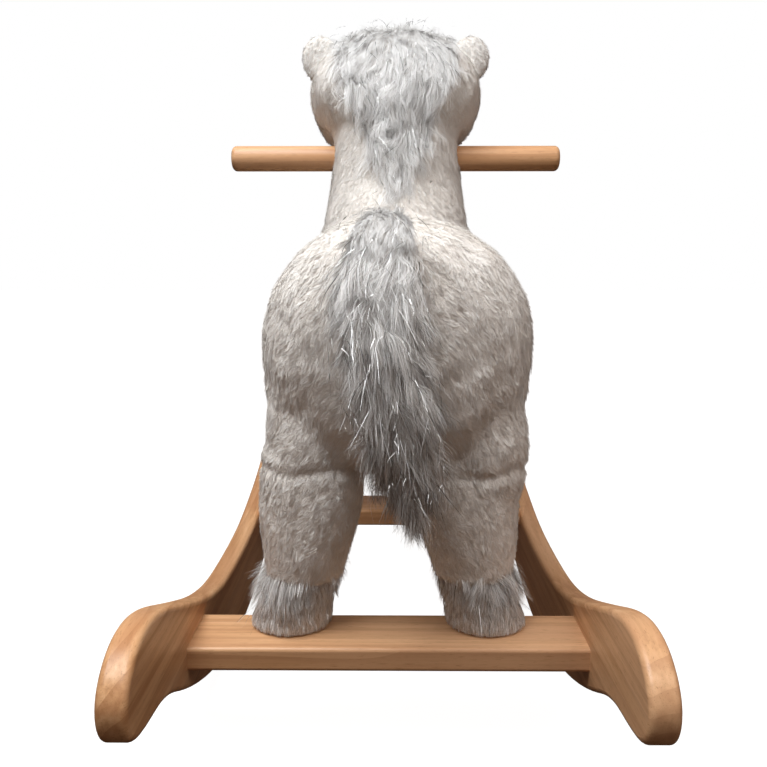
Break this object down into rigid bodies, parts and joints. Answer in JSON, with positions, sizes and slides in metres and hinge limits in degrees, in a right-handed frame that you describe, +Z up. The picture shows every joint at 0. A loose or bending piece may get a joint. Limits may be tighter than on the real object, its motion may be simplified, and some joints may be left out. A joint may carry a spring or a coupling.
{
  "type": "rocking horse",
  "caption": "Plush rocking horse standing on two curved wooden rockers joined by crossbars, with a wooden handle bar through the neck and a hanging tail.",
  "frame": {"origin": "on the floor, under the middle of the rockers' length and halfway between them", "axes": "+Z up, the horse faces -Y, +X to the horse's left"},
  "size_m": [0.335, 0.7349, 0.6042],
  "materials": {
    "varnished_wood": "satin",
    "plywood": "matte",
    "plain_wood": "matte",
    "zinc_steel": "satin",
    "cream_plush": "matte",
    "silver_long_pile": "matte",
    "grey_hoof_cloth": "matte",
    "eye_plastic": "gloss"
  },
  "bodies": {
    "horse": {"left_rocker": "varnished_wood", "right_rocker": "varnished_wood", "rear_crossbar": "varnished_wood", "front_crossbar": "varnished_wood", "handle_bar": "varnished_wood", "seat_board": "plywood", "neck_board": "plywood", "left_neck_cleat": "plain_wood", "right_neck_cleat": "plain_wood", "rear_left_leg_post": "plain_wood", "rear_right_leg_post": "plain_wood", "front_left_leg_post": "plain_wood", "front_right_leg_post": "plain_wood", "rocker_bolts": "zinc_steel", "barrel_nuts": "zinc_steel", "leg_foot_screws": "zinc_steel", "leg_top_screws": "zinc_steel", "neck_screws": "zinc_steel", "cleat_screws": "zinc_steel", "handle_screw": "zinc_steel", "eye_washers": "zinc_steel", "torso_plush": "cream_plush", "neck_plush": "cream_plush", "head_plush": "cream_plush", "left_ear": "cream_plush", "right_ear": "cream_plush", "rear_left_leg": "cream_plush", "rear_right_leg": "cream_plush", "front_left_leg": "cream_plush", "front_right_leg": "cream_plush", "mane": "silver_long_pile", "forelock": "silver_long_pile", "rear_left_fetlock": "silver_long_pile", "rear_right_fetlock": "silver_long_pile", "front_left_fetlock": "silver_long_pile", "front_right_fetlock": "silver_long_pile", "rear_left_hoof": "grey_hoof_cloth", "rear_right_hoof": "grey_hoof_cloth", "front_left_hoof": "grey_hoof_cloth", "front_right_hoof": "grey_hoof_cloth", "left_eye": "eye_plastic", "right_eye": "eye_plastic"},
    "tail_dock": {"tail_dock": "silver_long_pile"},
    "tail": {"tail": "silver_long_pile"}
  },
  "joints": [
    {"name": "tail_lift", "type": "hinge", "parent": "horse", "child": "tail_dock", "pos_m": [0, 0.208, 0.379], "axis": [1, 0, 0], "range_deg": [0, 70]},
    {"name": "tail_sway", "type": "hinge", "parent": "tail_dock", "child": "tail", "pos_m": [0, 0.208, 0.379], "axis": [0, 1, 0], "range_deg": [-25, 25]}
  ]
}
